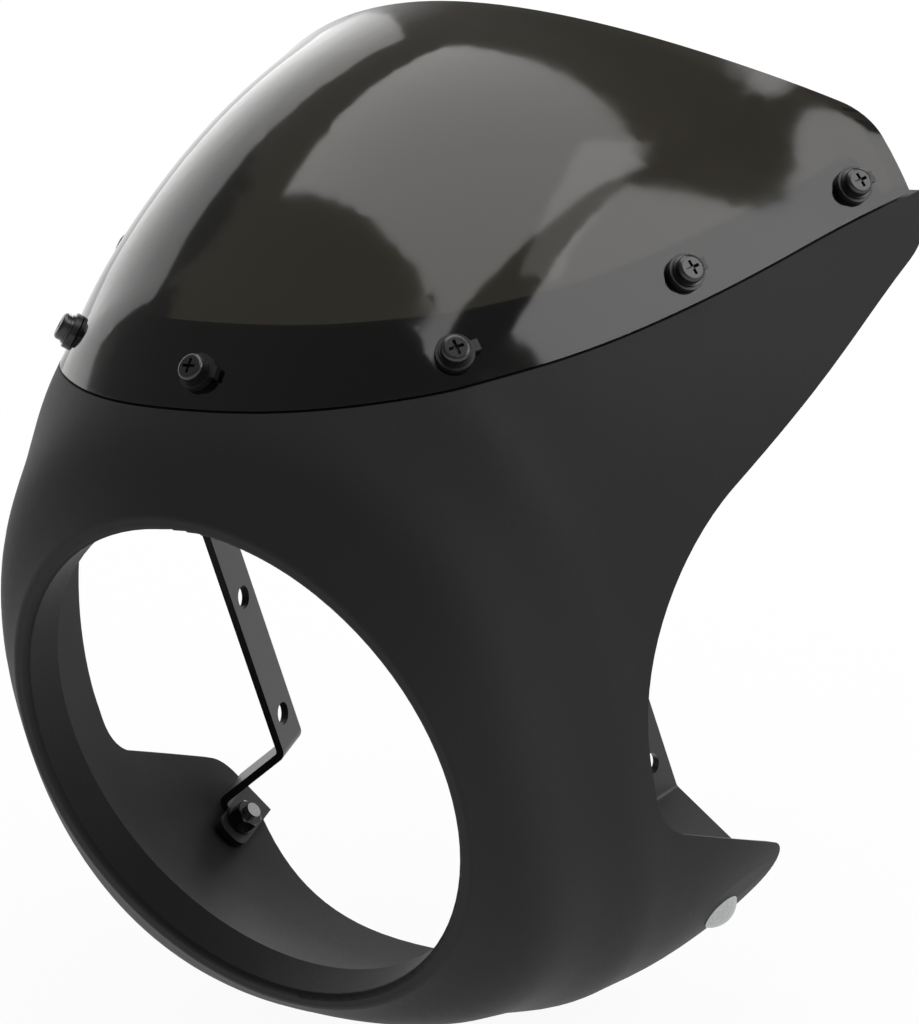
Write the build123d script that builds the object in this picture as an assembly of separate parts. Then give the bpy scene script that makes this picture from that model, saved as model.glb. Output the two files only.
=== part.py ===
"""Motorbike headlight cowl with a smoked windscreen and two steel mounting brackets.

Millimetres. The origin is on the lamp's axis where the opening's straight wall begins, just
behind the lip. The lamp looks along -Y, +Z is up as on the bike, and X = 0 is the plane of
symmetry. Distances back are counted from the lip's front plane.
"""

import os
from collections import namedtuple
from math import cos, pi, radians, sin, sqrt, tan

from build123d import *

# Lamp opening
LAMP_RADIUS = 88.9
LAMP_CLEARANCE = 0.6
OPENING_RADIUS = LAMP_RADIUS + LAMP_CLEARANCE
LIP_WIDTH = 5.5
LIP_INNER_ROUNDING = 2.2
LIP_OUTER_ROUNDING = 2.5
COLLAR_WALL = 3.0
COLLAR_DEPTH = 17.0
FRONT_RADIUS = OPENING_RADIUS + LIP_WIDTH

# Moulded wall and formed screen
WALL = 3.0
SCREEN_THICKNESS = 3.0
SCREEN_BED_GAP = 0.2
SCREEN_EDGE_GAP = 0.8
JOGGLE_WIDTH = 3.4

# Lines of the outer form. Each station gives its distance back from the lip, how far the crest,
# the flanks and the keel stand outside the lip's radius, how far the widest level is above the
# lamp's axis, and how full the section is above and below that level (2 is an ellipse).
Station = namedtuple("Station", "back crest flank keel level full_above full_below")
STATIONS = (
    Station(0.0, 0.0, 0.0, 0.0, 0.0, 2.0, 2.0),
    Station(12.0, 17.0, 12.5, 12.0, 0.0, 2.3, 2.5),
    Station(30.0, 33.5, 19.5, 20.0, 0.0, 2.4, 2.75),
    Station(65.0, 61.0, 31.0, 35.0, 0.0, 2.35, 2.85),
    Station(135.0, 95.5, 56.0, 44.0, 12.0, 2.0, 2.6),
    Station(255.0, 107.0, 94.0, 44.0, 9.0, 1.95, 2.25),
)
SECTIONS_BACK = (0.0, 5.0, 11.0, 19.0, 30.0, 44.0, 62.0, 84.0, 110.0, 140.0, 175.0, 213.0, 255.0)
SECTION_POINTS = 32
SECTION_SPACING = 3.0

LIP_TOP = FRONT_RADIUS
LIP_BOTTOM = -FRONT_RADIUS

# Side view of the shell's rear edge: corners as (distance back, height), each with its rounding
REAR_CORNER = (243.0, LIP_TOP + 8.6)
REAR_CORNER_RADIUS = 34.0
WAIST_CORNER = (61.5, 37.6)
WAIST_RADIUS = 86.0
NOTCH_CORNER = (61.5, -43.4)
NOTCH_RADIUS = 23.0
EAR_TIP = (129.0, LIP_BOTTOM + 7.0)
EAR_TIP_RADIUS = 15.0
KEEL_CORNER = (87.0, LIP_BOTTOM - 41.0)

# Side view of the windscreen's lower edge, of the flange behind it and of the free rear edge
SCREEN_EDGE = (
    (-10.0, LIP_TOP + 30.0),
    (45.0, LIP_TOP + 26.0),
    (105.0, LIP_TOP + 20.6),
    (170.0, LIP_TOP + 19.0),
    (262.0, LIP_TOP + 18.5),
)
FLANGE_EDGE = (
    (-10.0, LIP_TOP + 52.0),
    (40.0, LIP_TOP + 46.5),
    (105.0, LIP_TOP + 37.2),
    (170.0, LIP_TOP + 33.2),
    (262.0, LIP_TOP + 32.5),
)
FLANGE_REAR_BACK = 231.0
SCREEN_TOP = (197.0, LIP_TOP + 104.5)
SCREEN_SHOULDER = (244.8, LIP_TOP + 44.2)
SCREEN_SHOULDER_RADIUS = 14.0
SCREEN_FOOT = (236.0, LIP_TOP + 19.0)

# Windscreen screws: distance back of the centre one and of each pair, and height over the edge
CENTRE_SCREW_BACK = 33.0
SCREW_PAIRS_BACK = (63.5, 142.0, 219.0)
SCREW_RISE = 8.7
SCREW_RADIUS = 2.5
SCREW_HOLE_RADIUS = 2.8
SCREW_HEAD_RADIUS = 4.9
SCREW_HEAD_HEIGHT = 3.0
SCREW_HEAD_ROUNDING = 1.4
SCREW_RECESS_ARM = 1.1
SCREW_RECESS_SPAN = 5.2
SCREW_RECESS_DEPTH = 1.7
SCREW_END = 1.5
CUSHION_RADIUS = 6.5
CUSHION_THICKNESS = 2.2
CUSHION_TAB_REACH = 2.0
CUSHION_TAB_WIDTH = 4.0
WASHER_RADIUS = 5.4
WASHER_THICKNESS = 0.9
BACKING_RADIUS = 5.0
BACKING_THICKNESS = 1.0
SCREW_NUT_ACROSS = 8.0
SCREW_NUT_HEIGHT = 4.0
SEAT_GAP = 0.05
SPOT_DEPTH = 0.3
SPOT_MARGIN = 0.5
THREAD_GAP = 0.05

# Flat seat on each ear, square to its bolt
SEAT_POINT = (FRONT_RADIUS + 16.8, 99.3, LIP_BOTTOM - 5.3)
SEAT_TOE = 13.2
SEAT_TILT = 33.8

# Bracket bolt and its stack inside the ear
BOLT_RADIUS = 3.0
BOLT_HOLE_RADIUS = 3.3
BOLT_HEAD_RADIUS = 7.5
BOLT_HEAD_HEIGHT = 3.6
BOLT_END = 2.5
PAD_THICKNESS = 2.0
PAD_MARGIN = 1.5
BOLT_WASHER_RADIUS = 6.2
BOLT_WASHER_THICKNESS = 1.2
BOLT_NUT_ACROSS = 10.0
BOLT_NUT_HEIGHT = 5.0

# Bent steel strap, right side: foot on the ear, short arm inwards, long arm up
STRAP_THICKNESS = 3.0
STRAP_WIDTH = 17.0
STRAP_BEND_RADIUS = 2.0
STRAP_OFFSET = 9.0
STRAP_REACH = 31.5
FOOT_BELOW = 7.0
FOOT_ABOVE = 10.0
FOOT_AHEAD = 10.0
FOOT_CORNER = 4.5
LONG_ARM_TOP = 40.0
LONG_ARM_LEAN = 6.2
LONG_ARM_CORNER = 7.0
STRAP_HOLE_RADIUS = 4.3
STRAP_HOLE_HEIGHTS = (0.0, -53.0)

FAR = 400.0
STEP = 0.01


def eased(points, at):
    """Value at a place along a smooth curve that passes through (place, value) points."""
    slopes = [(b[1] - a[1]) / (b[0] - a[0]) for a, b in zip(points, points[1:])]
    tangents = [slopes[0]]
    for before, after in zip(slopes, slopes[1:]):
        tangents.append((before + after) / 2)
    tangents.append(slopes[-1])
    span = max(i for i in range(len(slopes)) if i == 0 or at >= points[i][0])
    (start, low), (end, high) = points[span], points[span + 1]
    length = end - start
    t = (at - start) / length
    lift = tangents[span] * length * t * (1 - t) ** 2
    settle = tangents[span + 1] * length * t * t * (t - 1)
    return low * (1 + 2 * t) * (1 - t) ** 2 + high * t * t * (3 - 2 * t) + lift + settle


def section(back):
    """Half width, level, height above, depth below and both fullnesses of the form's section."""
    rise, flank, drop, level, above, below = (
        eased([(s.back, getattr(s, name)) for s in STATIONS], back)
        for name in ("crest", "flank", "keel", "level", "full_above", "full_below")
    )
    half = FRONT_RADIUS + flank
    return half, level, FRONT_RADIUS + rise - level, FRONT_RADIUS + drop + level, above, below


def form_radius(angle, back):
    """Distance from the section's middle to the outer form in one direction."""
    half, _, over, under, above, below = section(back)
    height, fullness = (over, above) if sin(angle) >= 0 else (under, below)
    reach = abs(cos(angle) / half) ** fullness + abs(sin(angle) / height) ** fullness
    return reach ** (-1 / fullness)


def form_section(back, inset):
    """Closed curve of the form at one distance back, moved square inwards by the inset."""
    level = section(back)[1]
    points = []
    for i in range(SECTION_POINTS):
        angle = 2 * pi * i / SECTION_POINTS - pi / 2
        radius = form_radius(angle, back)
        along = (form_radius(angle, back + STEP) - radius) / STEP
        turn = form_radius(angle + STEP, back) - form_radius(angle - STEP, back)
        around = turn / (2 * STEP * radius)
        radius -= inset * sqrt(1 + along**2 + around**2)
        points.append((radius * cos(angle), back, level + radius * sin(angle)))
    turns = [i / SECTION_POINTS for i in range(SECTION_POINTS + 1)]
    points = [Vector(*point) for point in points]
    return Wire([Edge.make_spline(points, periodic=True, parameters=turns)])


def seat_plane(side, depth):
    """Plane of an ear's seat at a depth below it: X runs back, Z points out of the ear."""
    toe, tilt = radians(SEAT_TOE), radians(SEAT_TILT)
    out = Vector(side * cos(tilt) * cos(toe), -cos(tilt) * sin(toe), -sin(tilt))
    back = Vector(side * sin(toe), cos(toe), 0)
    point = Vector(side * SEAT_POINT[0], SEAT_POINT[1], SEAT_POINT[2])
    return Plane(origin=point - out * depth, x_dir=back, z_dir=out)


def form(inset):
    """The outer form as a solid, shrunk by the inset, with the flat of both ears cut on it."""
    backs = [inset] + [back for back in SECTIONS_BACK if back > inset + SECTION_SPACING]
    solid = Solid.make_loft([form_section(back, inset) for back in backs])
    if inset == 0:
        solid = fillet(solid.edges().group_by(Axis.Y)[0], LIP_OUTER_ROUNDING)
    beyond = Box(FAR, FAR, FAR, align=(Align.CENTER, Align.CENTER, Align.MIN))
    for side in (1, -1):
        solid -= seat_plane(side, inset) * beyond
    return solid


def side_prism(outline):
    """A side-view outline of (distance back, height) carried right across the cowl."""
    return extrude(Plane.YZ * make_face(outline), FAR, both=True)


def above_curve(points, shift=0.0):
    """Everything above a side-view curve, moved up by a shift."""
    line = [(back, height + shift) for back, height in points]
    corners = [line[-1], (line[-1][0], FAR), (line[0][0], FAR), line[0]]
    return side_prism(Curve() + [Spline(*line), Polyline(*corners)])


def rear_trim():
    """Everything ahead of the shell's rear edge in side view."""
    corners = (
        (-FAR, FAR),
        (REAR_CORNER[0], FAR),
        REAR_CORNER,
        WAIST_CORNER,
        NOTCH_CORNER,
        EAR_TIP,
        KEEL_CORNER,
        (KEEL_CORNER[0], -FAR),
        (-FAR, -FAR),
    )
    roundings = (0, 0, REAR_CORNER_RADIUS, WAIST_RADIUS, NOTCH_RADIUS, EAR_TIP_RADIUS, 0, 0, 0)
    return side_prism(FilletPolyline(*corners, radius=roundings, close=True))


def screen_trim():
    """Everything ahead of the windscreen's free edge in side view."""
    run = (SCREEN_SHOULDER[0] - SCREEN_TOP[0]) / (SCREEN_SHOULDER[1] - SCREEN_TOP[1])
    corners = (
        (SCREEN_TOP[0] + run * (FAR - SCREEN_TOP[1]), FAR),
        SCREEN_SHOULDER,
        SCREEN_FOOT,
        (SCREEN_FOOT[0], -FAR),
        (-FAR, -FAR),
        (-FAR, FAR),
    )
    roundings = (0, SCREEN_SHOULDER_RADIUS, 0, 0, 0, 0)
    return side_prism(FilletPolyline(*corners, radius=roundings, close=True))


def form_value(x, back, height):
    """Below zero inside the outer form, above zero outside it."""
    half, level, over, under, above, below = section(back)
    reach, fullness = (over, above) if height >= level else (under, below)
    return abs(x / half) ** fullness + abs((height - level) / reach) ** fullness - 1


def screw_plane(skin, back, side):
    """Plane on the outer skin under one windscreen screw: Z points out, Y up the screen."""
    half, level, over, _, above, _ = section(back)
    if side:
        height = eased(SCREEN_EDGE, back) + SCREW_RISE
        x = side * half * (1 - ((height - level) / over) ** above) ** (1 / above)
    else:
        height, x = level + over, 0.0
    here = form_value(x, back, height)
    out = Vector(
        form_value(x + STEP, back, height) - here if side else 0,
        form_value(x, back + STEP, height) - here,
        form_value(x, back, height + STEP) - here,
    ).normalized()
    start = Vector(x, back, height) + out * SCREEN_THICKNESS
    hits = skin.find_intersection_points(Axis(start, -out))
    point, normal = min(hits, key=lambda hit: (hit[0] - start).length)
    if normal.dot(out) < 0:
        normal = -normal
    return Plane(origin=point, x_dir=Vector(0, 0, 1).cross(normal), z_dir=normal)


def ring(outer, inner, thickness):
    """Flat ring standing on the XY plane."""
    return extrude(Circle(outer) - Circle(inner), thickness)


def hex_nut(across, bore, height):
    """Hexagon nut standing on the XY plane, its corners bevelled on both faces."""
    corner = across / sqrt(3)
    prism = extrude(RegularPolygon(corner, 6) - Circle(bore), height)
    bevel = (corner - across / 2) * tan(radians(30))
    lower = ((0, 0), (across / 2, 0), (corner, bevel))
    upper = ((corner, height - bevel), (across / 2, height), (0, height))
    profile = make_face(Polyline(*lower, *upper, close=True))
    return prism & revolve(Plane.XZ * profile, Axis.Z)


def pan_screw(seat, length):
    """Cross-recess pan-head screw, its head's underside at the seat height on Z."""
    head = Pos(0, 0, seat) * extrude(Circle(SCREW_HEAD_RADIUS), SCREW_HEAD_HEIGHT)
    head = fillet(head.edges().group_by(Axis.Z)[-1], SCREW_HEAD_ROUNDING)
    recess = Rectangle(SCREW_RECESS_SPAN, SCREW_RECESS_ARM) + Rectangle(SCREW_RECESS_ARM, SCREW_RECESS_SPAN)
    recess = extrude(recess, SCREW_RECESS_DEPTH)
    head -= Pos(0, 0, seat + SCREW_HEAD_HEIGHT - SCREW_RECESS_DEPTH) * recess
    return head + Pos(0, 0, seat - length) * extrude(Circle(SCREW_RADIUS), length)


def dome_bolt(length):
    """Mushroom-head bolt, its head's underside on the XY plane and its shank below."""
    sphere = (BOLT_HEAD_RADIUS**2 + BOLT_HEAD_HEIGHT**2) / (2 * BOLT_HEAD_HEIGHT)
    dome = Pos(0, 0, BOLT_HEAD_HEIGHT - sphere) * Sphere(sphere)
    dome &= extrude(Circle(BOLT_HEAD_RADIUS), BOLT_HEAD_HEIGHT)
    return dome + Pos(0, 0, -length) * extrude(Circle(BOLT_RADIUS), length)


def both_sides(solid):
    """A right-hand solid and its mirror image on the left."""
    return [solid, mirror(solid, Plane.YZ)]


parts = {}

# Shell: one moulding with a joggled flange for the screen, a collar for the lamp and two ears
outer = form(0)
flange_depth = SCREEN_THICKNESS + SCREEN_BED_GAP
bed = form(flange_depth)
step_line = above_curve(SCREEN_EDGE, -SCREEN_EDGE_GAP)
joggle_line = above_curve(SCREEN_EDGE, -SCREEN_EDGE_GAP - JOGGLE_WIDTH)
shell = (outer & rear_trim()) - above_curve(FLANGE_EDGE)
shell -= step_line - bed
behind_flange = Box(FAR, FAR, FAR, align=(Align.CENTER, Align.MIN, Align.MIN))
shell -= step_line & Pos(0, FLANGE_REAR_BACK, 0) * behind_flange
shell -= form(WALL) - joggle_line
shell -= form(flange_depth + WALL)
lip_plane = Plane(origin=(0, 0, 0), x_dir=(1, 0, 0), z_dir=(0, 1, 0))
shell += lip_plane * Pos(0, 0, WALL / 2) * ring(
    OPENING_RADIUS + COLLAR_WALL, OPENING_RADIUS - COLLAR_WALL, COLLAR_DEPTH - WALL / 2
)
shell -= lip_plane * extrude(Circle(OPENING_RADIUS), 2 * COLLAR_DEPTH, both=True)
front_edges = shell.edges().filter_by(GeomType.CIRCLE).group_by(Axis.Y)[0]
shell = fillet(front_edges, LIP_INNER_ROUNDING)

# Windscreen: one formed sheet that carries on the shell's form above the joggle
screen = (outer & screen_trim() & above_curve(SCREEN_EDGE)) - form(SCREEN_THICKNESS)

# Seven screws in a row along the screen's lower edge, each with its washers and nut
skin = max(outer.faces(), key=lambda face: face.area)
screw_planes = [screw_plane(skin, CENTRE_SCREW_BACK, 0)]
for pair_back in SCREW_PAIRS_BACK:
    screw_planes += [screw_plane(skin, pair_back, 1), screw_plane(skin, pair_back, -1)]
washer_seat = SEAT_GAP + CUSHION_THICKNESS + SEAT_GAP
head_seat = washer_seat + WASHER_THICKNESS + SEAT_GAP
spot_top = SPOT_DEPTH - flange_depth - WALL
backing_top = spot_top - SEAT_GAP
nut_top = backing_top - BACKING_THICKNESS - SEAT_GAP
screw_length = head_seat - nut_top + SCREW_NUT_HEIGHT + SCREW_END
cushion_tab = Pos(CUSHION_RADIUS, 0) * Rectangle(2 * CUSHION_TAB_REACH, CUSHION_TAB_WIDTH)
cushion_face = Circle(CUSHION_RADIUS) + cushion_tab - Circle(SCREW_HOLE_RADIUS)
cushion = Pos(0, 0, SEAT_GAP) * extrude(cushion_face, CUSHION_THICKNESS)
flat_washer = Pos(0, 0, washer_seat) * ring(WASHER_RADIUS, SCREW_HOLE_RADIUS, WASHER_THICKNESS)
backing = ring(BACKING_RADIUS, SCREW_HOLE_RADIUS, BACKING_THICKNESS)
backing = Pos(0, 0, backing_top - BACKING_THICKNESS) * backing
screw_nut = hex_nut(SCREW_NUT_ACROSS, SCREW_RADIUS + THREAD_GAP, SCREW_NUT_HEIGHT)
screw_nut = Pos(0, 0, nut_top - SCREW_NUT_HEIGHT) * screw_nut
screw = pan_screw(head_seat, screw_length)
screw_hole = extrude(Circle(SCREW_HOLE_RADIUS), 2 * WALL + 2 * SCREEN_THICKNESS, both=True)
spot = Pos(0, 0, spot_top - WALL) * extrude(Circle(BACKING_RADIUS + SPOT_MARGIN), WALL)
for plane in screw_planes:
    shell -= plane * (screw_hole + spot)
    screen -= plane * screw_hole
parts["screen_screws"] = [plane * screw for plane in screw_planes]
parts["screen_flat_washers"] = [plane * flat_washer for plane in screw_planes]
parts["screen_cushion_washers"] = [plane * cushion for plane in screw_planes]
parts["screen_backing_washers"] = [plane * backing for plane in screw_planes]
parts["screen_nuts"] = [plane * screw_nut for plane in screw_planes]

# Bracket, right side: the bent run of the strap first, then its foot and its long arm
pad_depth = WALL + SEAT_GAP
foot_depth = pad_depth + PAD_THICKNESS + SEAT_GAP
foot_middle = foot_depth + STRAP_THICKNESS / 2
tilt = radians(SEAT_TILT)
seat = seat_plane(1, 0)
toe = radians(SEAT_TOE)
bend_plane = Plane(origin=seat.origin, x_dir=(cos(toe), -sin(toe), 0), z_dir=-seat.x_dir)


def bend_point(depth, up):
    """A place in the plane of the bends, from its depth below the seat and its height along it."""
    return (up * sin(tilt) - depth * cos(tilt), up * cos(tilt) + depth * sin(tilt))


knee = bend_point(foot_middle, FOOT_ABOVE)
elbow_depth = foot_middle + (knee[0] + STRAP_REACH) / cos(tilt)
elbow = bend_point(elbow_depth, FOOT_ABOVE)
bend_middle = STRAP_BEND_RADIUS + STRAP_THICKNESS / 2
arm_start = elbow[1] + bend_middle * tan((pi / 2 - tilt) / 2) + STEP
toe_end = bend_point(foot_middle, -FOOT_BELOW)
run = FilletPolyline(toe_end, knee, elbow, (elbow[0], arm_start), radius=bend_middle)
run = extrude(trace(run, STRAP_THICKNESS), STRAP_WIDTH / 2, both=True)
bracket = bend_plane * Pos(0, 0, -STRAP_OFFSET) * run
foot_back = STRAP_OFFSET + STRAP_WIDTH / 2
foot_face = Pos(0, -FOOT_BELOW) * Rectangle(
    FOOT_AHEAD + STRAP_OFFSET, FOOT_BELOW + FOOT_ABOVE - bend_middle, align=(Align.MIN, Align.MIN)
)
foot_face = fillet((Pos(-FOOT_AHEAD, 0) * foot_face).vertices().group_by(Axis.X)[0], FOOT_CORNER)
bracket += seat_plane(1, foot_depth + STRAP_THICKNESS) * extrude(foot_face, STRAP_THICKNESS)
arm_top = LONG_ARM_TOP - SEAT_POINT[2]
lean = tan(radians(LONG_ARM_LEAN))


def arm_middle(height):
    """Place of the long arm's middle line along the width of the strap at one height."""
    return STRAP_OFFSET - (height - arm_start) * lean


half_strap = STRAP_WIDTH / 2
arm_outline = Polyline(
    (STRAP_OFFSET - half_strap, arm_start),
    (STRAP_OFFSET + half_strap, arm_start),
    (arm_middle(arm_top) + half_strap, arm_top),
    (arm_middle(arm_top) - half_strap, arm_top),
    close=True,
)
arm_face = make_face(arm_outline)
arm_face = fillet(arm_face.vertices().group_by(Axis.Y)[-1], LONG_ARM_CORNER)
for hole_height in STRAP_HOLE_HEIGHTS:
    hole_at = hole_height - SEAT_POINT[2]
    arm_face -= Pos(arm_middle(hole_at), hole_at) * Circle(STRAP_HOLE_RADIUS)
arm_plane = Plane(
    origin=seat.origin - bend_plane.x_dir * (STRAP_REACH + STRAP_THICKNESS / 2),
    x_dir=seat.x_dir,
    z_dir=bend_plane.x_dir,
)
bracket += arm_plane * extrude(arm_face, STRAP_THICKNESS)

# Pad, bolt, washer and nut that hold each foot to its ear
bolt_hole = extrude(Circle(BOLT_HOLE_RADIUS), foot_depth + 2 * STRAP_THICKNESS, both=True)
bracket -= seat * bolt_hole
for side in (1, -1):
    shell -= seat_plane(side, 0) * bolt_hole
pad_width = FOOT_AHEAD + foot_back - 2 * PAD_MARGIN
pad_height = FOOT_BELOW + FOOT_ABOVE - bend_middle - PAD_MARGIN
pad_back = foot_back - PAD_MARGIN - pad_width / 2
pad_up = pad_height / 2 - FOOT_BELOW + PAD_MARGIN / 2
pad_face = Pos(pad_back, pad_up) * RectangleRounded(pad_width, pad_height, FOOT_CORNER - PAD_MARGIN)
pad_face -= Circle(BOLT_HOLE_RADIUS)
pad = seat_plane(1, pad_depth + PAD_THICKNESS) * extrude(pad_face, PAD_THICKNESS)
pad &= form(WALL + SEAT_GAP)
washer_depth = foot_depth + STRAP_THICKNESS + SEAT_GAP + BOLT_WASHER_THICKNESS
bolt_washer = seat_plane(1, washer_depth) * ring(BOLT_WASHER_RADIUS, BOLT_HOLE_RADIUS, BOLT_WASHER_THICKNESS)
nut_depth = washer_depth + SEAT_GAP + BOLT_NUT_HEIGHT
bolt_nut = seat_plane(1, nut_depth) * hex_nut(BOLT_NUT_ACROSS, BOLT_RADIUS + THREAD_GAP, BOLT_NUT_HEIGHT)
bolt = seat_plane(1, -SEAT_GAP) * dome_bolt(SEAT_GAP + nut_depth + BOLT_END)

bracket_right, bracket_left = both_sides(bracket)
parts["cowl_shell"] = [shell]
parts["windscreen"] = [screen]
parts["bracket_right"] = [bracket_right]
parts["bracket_left"] = [bracket_left]
parts["bracket_pads"] = both_sides(pad)
parts["bracket_bolts"] = both_sides(bolt)
parts["bracket_washers"] = both_sides(bolt_washer)
parts["bracket_nuts"] = both_sides(bolt_nut)

os.makedirs("parts", exist_ok=True)
for name, solids in parts.items():
    pieces = [piece for solid in solids for piece in solid.solids()]
    pieces = [Pos(0, -LIP_INNER_ROUNDING, 0) * piece for piece in pieces]
    export_step(pieces[0] if len(pieces) == 1 else Compound(children=pieces), f"parts/{name}.step")
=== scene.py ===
from math import pi, radians

import bpy
from mathutils import Matrix, Vector


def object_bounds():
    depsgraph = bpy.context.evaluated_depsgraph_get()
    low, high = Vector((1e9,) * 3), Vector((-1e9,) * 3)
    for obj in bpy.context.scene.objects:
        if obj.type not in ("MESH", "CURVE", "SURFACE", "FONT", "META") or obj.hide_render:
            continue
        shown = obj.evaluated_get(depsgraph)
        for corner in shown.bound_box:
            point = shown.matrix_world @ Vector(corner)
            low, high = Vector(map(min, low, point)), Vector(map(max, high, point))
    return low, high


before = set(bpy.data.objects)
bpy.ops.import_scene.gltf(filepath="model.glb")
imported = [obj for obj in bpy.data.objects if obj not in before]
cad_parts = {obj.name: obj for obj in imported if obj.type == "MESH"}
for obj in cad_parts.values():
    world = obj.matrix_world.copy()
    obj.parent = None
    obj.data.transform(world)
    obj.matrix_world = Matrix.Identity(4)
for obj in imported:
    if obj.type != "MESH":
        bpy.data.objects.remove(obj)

cad_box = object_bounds()
scene = bpy.context.scene

# Camera: the photograph's own view, from the front right and a little above. The cowl lay tipped
# forward on its chin there, so the camera is rolled to show the lamp's axis at the same slope.
PHOTO_TALL_PX = 1024
FOCAL_PX = 3500.0
VIEW_AZIMUTH = radians(39.899)
VIEW_ELEVATION = radians(23.800)
VIEW_ROLL = radians(-13.429)
ORIGIN_IN_VIEW = Vector((-0.075316, -0.086288, -1.172512))
ORIGIN_BEHIND_LIP = 0.0022

turn = Matrix.Rotation(VIEW_AZIMUTH, 3, "Z") @ Matrix.Rotation(pi / 2 - VIEW_ELEVATION, 3, "X")
turn = turn @ Matrix.Rotation(VIEW_ROLL, 3, "Z")
camera = bpy.data.objects.new("camera", bpy.data.cameras.new("camera"))
scene.collection.objects.link(camera)
camera.matrix_world = turn.to_4x4()
camera.location = turn @ -ORIGIN_IN_VIEW - Vector((0, ORIGIN_BEHIND_LIP, 0))
camera.data.sensor_width = 36.0
camera.data.lens = FOCAL_PX / PHOTO_TALL_PX * camera.data.sensor_width
camera.data.clip_start = 0.05
camera.data.clip_end = 50.0
scene.camera = camera
scene.view_settings.view_transform = "Standard"


# Shell: one moulding in black ABS, out of a tool with a fine spark-eroded texture. That gives a
# matte skin with a soft sheen where it turns away from the eye.
def hex_colour(code):
    """Linear RGBA from an sRGB hex value."""
    channels = [int(code[i : i + 2], 16) / 255 for i in (1, 3, 5)]
    linear = [c / 12.92 if c <= 0.04045 else ((c + 0.055) / 1.055) ** 2.4 for c in channels]
    return (*linear, 1.0)


def add_node(tree, kind, settings=None, links=None):
    """Adds a node, sets its properties and sockets, and links sockets of it to other outputs."""
    node = tree.nodes.new(kind)
    for name, value in (settings or {}).items():
        if name in node.inputs:
            node.inputs[name].default_value = value
        else:
            setattr(node, name, value)
    for name, source in (links or {}).items():
        tree.links.new(source, node.inputs[name])
    return node


def new_material(name):
    """An empty node material and its tree."""
    material = bpy.data.materials.new(name)
    material.use_nodes = True
    material.node_tree.nodes.clear()
    return material, material.node_tree


def dress(node_name, material):
    """Puts a material on every slot of a CAD node."""
    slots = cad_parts[node_name].material_slots
    for material_slot in slots:
        material_slot.material = material


def grain_scale(size_mm):
    """Scale of a noise pattern in metres whose grains are about this size."""
    return 1000.0 / size_mm


ABS_GRAIN_MM = 0.9
ABS_FLOW_MM = 70.0

abs_plastic, tree = new_material("black_abs_textured")
place = add_node(tree, "ShaderNodeTexCoord")
flow = add_node(tree, "ShaderNodeTexNoise", {"Scale": grain_scale(ABS_FLOW_MM), "Detail": 3.0},
                {"Vector": place.outputs["Object"]})
grain = add_node(tree, "ShaderNodeTexNoise", {"Scale": grain_scale(ABS_GRAIN_MM), "Detail": 4.0},
                 {"Vector": place.outputs["Object"]})
tone = add_node(tree, "ShaderNodeMix", {"data_type": "RGBA"}, {"Factor": flow.outputs["Fac"]})
tone.inputs["A"].default_value = hex_colour("#222223")
tone.inputs["B"].default_value = hex_colour("#29292a")
sheen = add_node(tree, "ShaderNodeMapRange", {"To Min": 0.48, "To Max": 0.62},
                 {"Value": grain.outputs["Fac"]})
relief = add_node(tree, "ShaderNodeBump", {"Strength": 0.25, "Distance": 0.0002},
                  {"Height": grain.outputs["Fac"]})
skin = add_node(tree, "ShaderNodeBsdfPrincipled", {"IOR": 1.53, "Specular IOR Level": 0.16},
                {"Base Color": tone.outputs["Result"], "Roughness": sheen.outputs["Result"],
                 "Normal": relief.outputs["Normal"]})
add_node(tree, "ShaderNodeOutputMaterial", None, {"Surface": skin.outputs["BSDF"]})
dress("cowl_shell", abs_plastic)

# Windscreen: one sheet of smoked acrylic, heated and blown to the cowl's form. It is dark brown to
# look through and mirrors its surroundings with soft outlines. Its sawn rear edge is black, because
# there the light would have to come a long way through the smoke.
ACRYLIC_WAVE_MM = 120.0
SAW_MARK_MM = 0.7
SAWN_EDGE_LEAN = 0.73

acrylic, tree = new_material("smoked_acrylic")
place = add_node(tree, "ShaderNodeTexCoord")
wave = add_node(tree, "ShaderNodeTexNoise", {"Scale": grain_scale(ACRYLIC_WAVE_MM), "Detail": 1.0},
                {"Vector": place.outputs["Object"]})
smoke = add_node(tree, "ShaderNodeMix", {"data_type": "RGBA"}, {"Factor": wave.outputs["Fac"]})
smoke.inputs["A"].default_value = hex_colour("#24211a")
smoke.inputs["B"].default_value = hex_colour("#29261e")
gloss = add_node(tree, "ShaderNodeMapRange", {"To Min": 0.07, "To Max": 0.09},
                 {"Value": wave.outputs["Fac"]})
sheet = add_node(tree, "ShaderNodeBsdfPrincipled", {"IOR": 1.49, "Transmission Weight": 1.0},
                 {"Base Color": smoke.outputs["Result"], "Roughness": gloss.outputs["Result"]})
marks = add_node(tree, "ShaderNodeTexNoise", {"Scale": grain_scale(SAW_MARK_MM), "Detail": 2.0},
                 {"Vector": place.outputs["Object"]})
dull = add_node(tree, "ShaderNodeMapRange", {"To Min": 0.3, "To Max": 0.5},
                {"Value": marks.outputs["Fac"]})
sawn = add_node(tree, "ShaderNodeBsdfPrincipled", {"IOR": 1.49, "Base Color": hex_colour("#12110f")},
                {"Roughness": dull.outputs["Result"]})
facing = add_node(tree, "ShaderNodeNewGeometry")
lean = add_node(tree, "ShaderNodeSeparateXYZ", None, {"Vector": facing.outputs["True Normal"]})
rear = add_node(tree, "ShaderNodeMath", {"operation": "GREATER_THAN"})
tree.links.new(lean.outputs["Y"], rear.inputs[0])
rear.inputs[1].default_value = SAWN_EDGE_LEAN
both = add_node(tree, "ShaderNodeMixShader", None, {"Fac": rear.outputs[0]})
tree.links.new(sheet.outputs["BSDF"], both.inputs[1])
tree.links.new(sawn.outputs["BSDF"], both.inputs[2])
add_node(tree, "ShaderNodeOutputMaterial", None, {"Surface": both.outputs["Shader"]})
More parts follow.
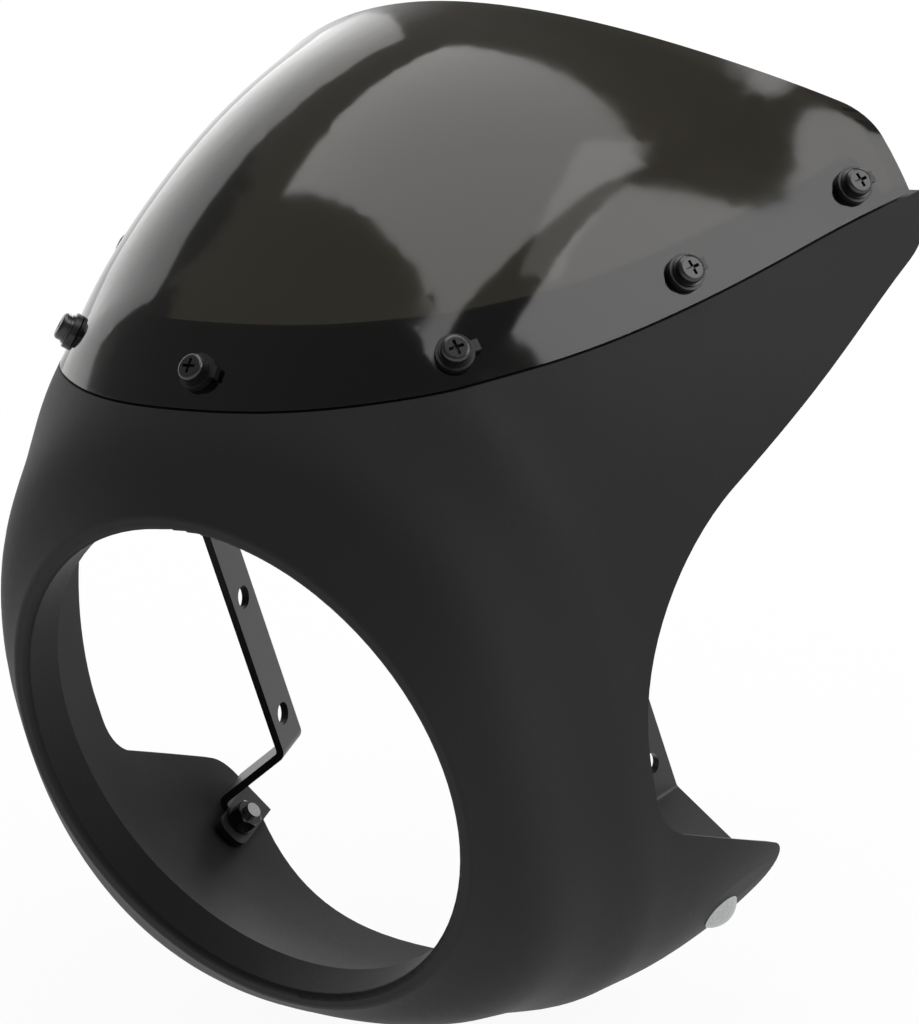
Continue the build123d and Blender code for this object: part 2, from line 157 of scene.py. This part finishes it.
dress("windscreen", acrylic)

# Windscreen screws with the flat washers under their heads, and the washers and nuts of the bracket
# bolts: black-zinc steel, cold formed and tumbled, so they are smooth and shine like dark lacquer.
BLACK_ZINC_SPECK_MM = 0.6

black_zinc, tree = new_material("black_zinc_steel")
place = add_node(tree, "ShaderNodeTexCoord")
speck = add_node(tree, "ShaderNodeTexNoise", {"Scale": grain_scale(BLACK_ZINC_SPECK_MM), "Detail": 3.0},
                 {"Vector": place.outputs["Object"]})
tone = add_node(tree, "ShaderNodeMix", {"data_type": "RGBA"}, {"Factor": speck.outputs["Fac"]})
tone.inputs["A"].default_value = hex_colour("#0c0c0d")
tone.inputs["B"].default_value = hex_colour("#171718")
shine = add_node(tree, "ShaderNodeMapRange", {"To Min": 0.18, "To Max": 0.34},
                 {"Value": speck.outputs["Fac"]})
skin = add_node(tree, "ShaderNodeBsdfPrincipled", {"IOR": 1.6},
                {"Base Color": tone.outputs["Result"], "Roughness": shine.outputs["Result"]})
add_node(tree, "ShaderNodeOutputMaterial", None, {"Surface": skin.outputs["BSDF"]})
dress("screen_screws", black_zinc)
dress("screen_flat_washers", black_zinc)
dress("bracket_washers", black_zinc)
dress("bracket_nuts", black_zinc)

# Cushion washers between the flat washers and the screen: moulded black nylon, satin.
NYLON_GRAIN_MM = 0.5

nylon, tree = new_material("black_nylon")
place = add_node(tree, "ShaderNodeTexCoord")
grain = add_node(tree, "ShaderNodeTexNoise", {"Scale": grain_scale(NYLON_GRAIN_MM), "Detail": 2.0},
                 {"Vector": place.outputs["Object"]})
tone = add_node(tree, "ShaderNodeMix", {"data_type": "RGBA"}, {"Factor": grain.outputs["Fac"]})
tone.inputs["A"].default_value = hex_colour("#0e0e0e")
tone.inputs["B"].default_value = hex_colour("#161616")
shine = add_node(tree, "ShaderNodeMapRange", {"To Min": 0.32, "To Max": 0.45},
                 {"Value": grain.outputs["Fac"]})
skin = add_node(tree, "ShaderNodeBsdfPrincipled", {"IOR": 1.53},
                {"Base Color": tone.outputs["Result"], "Roughness": shine.outputs["Result"]})
add_node(tree, "ShaderNodeOutputMaterial", None, {"Surface": skin.outputs["BSDF"]})
dress("screen_cushion_washers", nylon)

# Nuts and washers behind the flange, and the mushroom-head bolts in the ears: zinc-plated steel,
# silver grey with a faint grain from the plating barrel.
ZINC_GRAIN_MM = 1.2

zinc, tree = new_material("zinc_plated_steel")
place = add_node(tree, "ShaderNodeTexCoord")
grain = add_node(tree, "ShaderNodeTexNoise", {"Scale": grain_scale(ZINC_GRAIN_MM), "Detail": 5.0},
                 {"Vector": place.outputs["Object"]})
tone = add_node(tree, "ShaderNodeMix", {"data_type": "RGBA"}, {"Factor": grain.outputs["Fac"]})
tone.inputs["A"].default_value = hex_colour("#9fa1a2")
tone.inputs["B"].default_value = hex_colour("#c0c1c0")
shine = add_node(tree, "ShaderNodeMapRange", {"To Min": 0.28, "To Max": 0.45},
                 {"Value": grain.outputs["Fac"]})
relief = add_node(tree, "ShaderNodeBump", {"Strength": 0.2, "Distance": 0.0002},
                  {"Height": grain.outputs["Fac"]})
skin = add_node(tree, "ShaderNodeBsdfPrincipled", {"Metallic": 1.0},
                {"Base Color": tone.outputs["Result"], "Roughness": shine.outputs["Result"],
                 "Normal": relief.outputs["Normal"]})
add_node(tree, "ShaderNodeOutputMaterial", None, {"Surface": skin.outputs["BSDF"]})
dress("screen_backing_washers", zinc)
dress("screen_nuts", zinc)
dress("bracket_bolts", zinc)

# Brackets: flat steel strap, punched, bent twice and stove enamelled black, with a faint orange
# peel in the satin film.
ENAMEL_PEEL_MM = 1.6

enamel, tree = new_material("black_stove_enamel")
place = add_node(tree, "ShaderNodeTexCoord")
peel = add_node(tree, "ShaderNodeTexNoise", {"Scale": grain_scale(ENAMEL_PEEL_MM), "Detail": 2.0},
                {"Vector": place.outputs["Object"]})
tone = add_node(tree, "ShaderNodeMix", {"data_type": "RGBA"}, {"Factor": peel.outputs["Fac"]})
tone.inputs["A"].default_value = hex_colour("#1d1d1d")
tone.inputs["B"].default_value = hex_colour("#272727")
shine = add_node(tree, "ShaderNodeMapRange", {"To Min": 0.3, "To Max": 0.42},
                 {"Value": peel.outputs["Fac"]})
relief = add_node(tree, "ShaderNodeBump", {"Strength": 0.2, "Distance": 0.0002},
                  {"Height": peel.outputs["Fac"]})
skin = add_node(tree, "ShaderNodeBsdfPrincipled", {"IOR": 1.5},
                {"Base Color": tone.outputs["Result"], "Roughness": shine.outputs["Result"],
                 "Normal": relief.outputs["Normal"]})
add_node(tree, "ShaderNodeOutputMaterial", None, {"Surface": skin.outputs["BSDF"]})
dress("bracket_right", enamel)
dress("bracket_left", enamel)

# Pads between the feet of the brackets and the ears: cut from black rubber sheet, dull.
RUBBER_GRAIN_MM = 0.8

rubber, tree = new_material("black_rubber_sheet")
place = add_node(tree, "ShaderNodeTexCoord")
grain = add_node(tree, "ShaderNodeTexNoise", {"Scale": grain_scale(RUBBER_GRAIN_MM), "Detail": 3.0},
                 {"Vector": place.outputs["Object"]})
tone = add_node(tree, "ShaderNodeMix", {"data_type": "RGBA"}, {"Factor": grain.outputs["Fac"]})
tone.inputs["A"].default_value = hex_colour("#121212")
tone.inputs["B"].default_value = hex_colour("#1c1c1b")
skin = add_node(tree, "ShaderNodeBsdfPrincipled", {"Roughness": 0.8},
                {"Base Color": tone.outputs["Result"]})
add_node(tree, "ShaderNodeOutputMaterial", None, {"Surface": skin.outputs["BSDF"]})
dress("bracket_pads", rubber)

# Floor: a wide sheet of white paper under the cowl, white to the eye, in the gloss and through the
# screen, with the cowl's soft shadow left on it.
FLOOR_HALF = 6.0
FLOOR_WHITE = 0.94

bpy.ops.object.select_all(action="DESELECT")
bpy.ops.mesh.primitive_plane_add(size=2 * FLOOR_HALF, location=(0, 0, cad_box[0][2]))
floor = bpy.context.object
floor.name = "floor"
paper, tree = new_material("white_paper")
matte = add_node(tree, "ShaderNodeBsdfDiffuse", {"Color": hex_colour("#f4f4f4")})
glow = add_node(tree, "ShaderNodeEmission", {"Color": (1.0, 1.0, 1.0, 1.0), "Strength": 1.0})
ray = add_node(tree, "ShaderNodeLightPath")
straight = add_node(tree, "ShaderNodeMath", {"operation": "MAXIMUM"})
tree.links.new(ray.outputs["Is Camera Ray"], straight.inputs[0])
tree.links.new(ray.outputs["Is Transmission Ray"], straight.inputs[1])
seen = add_node(tree, "ShaderNodeMath", {"operation": "MAXIMUM"})
tree.links.new(straight.outputs[0], seen.inputs[0])
tree.links.new(ray.outputs["Is Glossy Ray"], seen.inputs[1])
share = add_node(tree, "ShaderNodeMath", {"operation": "MULTIPLY"})
tree.links.new(seen.outputs[0], share.inputs[0])
share.inputs[1].default_value = FLOOR_WHITE
mix = add_node(tree, "ShaderNodeMixShader", None, {"Fac": share.outputs[0]})
tree.links.new(matte.outputs["BSDF"], mix.inputs[1])
tree.links.new(glow.outputs["Emission"], mix.inputs[2])
add_node(tree, "ShaderNodeOutputMaterial", None, {"Surface": mix.outputs["Shader"]})
floor.data.materials.append(paper)

# Studio: white walls that darken towards the ceiling, so that the screen stays dark between the
# mirror images of the soft boxes.
WALL_TOP = 0.05
WALL_LIGHT = (0.75, 0.75, 0.75, 1.0)
CEILING_FROM = 0.45
CEILING_LIGHT = (0.22, 0.22, 0.22, 1.0)

world = bpy.data.worlds.new("studio")
scene.world = world
world.use_nodes = True
tree = world.node_tree
tree.nodes.clear()
place = add_node(tree, "ShaderNodeTexCoord")
level = add_node(tree, "ShaderNodeSeparateXYZ", None, {"Vector": place.outputs["Generated"]})
walls = add_node(tree, "ShaderNodeValToRGB", None, {"Fac": level.outputs["Z"]})
walls.color_ramp.elements[0].position = WALL_TOP
walls.color_ramp.elements[0].color = WALL_LIGHT
walls.color_ramp.elements[1].position = CEILING_FROM
walls.color_ramp.elements[1].color = CEILING_LIGHT
room = add_node(tree, "ShaderNodeBackground", {"Strength": 1.0}, {"Color": walls.outputs["Color"]})
add_node(tree, "ShaderNodeOutputWorld", None, {"Surface": room.outputs["Background"]})


# Soft boxes: one overhead, whose mirror image is the large grey field on the windscreen, one behind
# the right shoulder with a dim card over it, one at the left, and one low at the back that lights
# the inside.
def soft_box(name, place, aim, size, watts, spin=0.0):
    """A rectangular area lamp at a place, turned to face a point and spun about its own axis."""
    lamp = bpy.data.lights.new(name, "AREA")
    lamp.shape = "RECTANGLE"
    lamp.size, lamp.size_y = size
    lamp.energy = watts
    holder = bpy.data.objects.new(name, lamp)
    scene.collection.objects.link(holder)
    holder.location = place
    holder.rotation_euler = (Vector(aim) - Vector(place)).to_track_quat("-Z", "Y").to_euler()
    holder.rotation_euler.rotate_axis("Z", radians(spin))


SCREEN_RIGHT_HALF = (0.1, 0.15, 0.13)
SCREEN_MIDDLE = (0.0, 0.15, 0.13)
LAMP_WELL = (0.0, 0.05, -0.1)

soft_box("soft_box_top", (-0.04, 0.67, 1.55), (-0.04, 0.67, 0.0), (1.82, 1.2), 16.5, -12.0)
soft_box("soft_box_right", (1.42, 0.62, 0.92), SCREEN_RIGHT_HALF, (0.86, 1.28), 10.3)
soft_box("soft_box_card", (0.85, 0.70, 1.424), SCREEN_RIGHT_HALF, (0.7, 0.26), 0.6)
soft_box("soft_box_left", (-1.5, 0.85, 0.62), SCREEN_MIDDLE, (1.4, 1.2), 5.5)
soft_box("soft_box_rear", (-0.4, 1.6, 0.35), LAMP_WELL, (1.0, 0.6), 7.0)
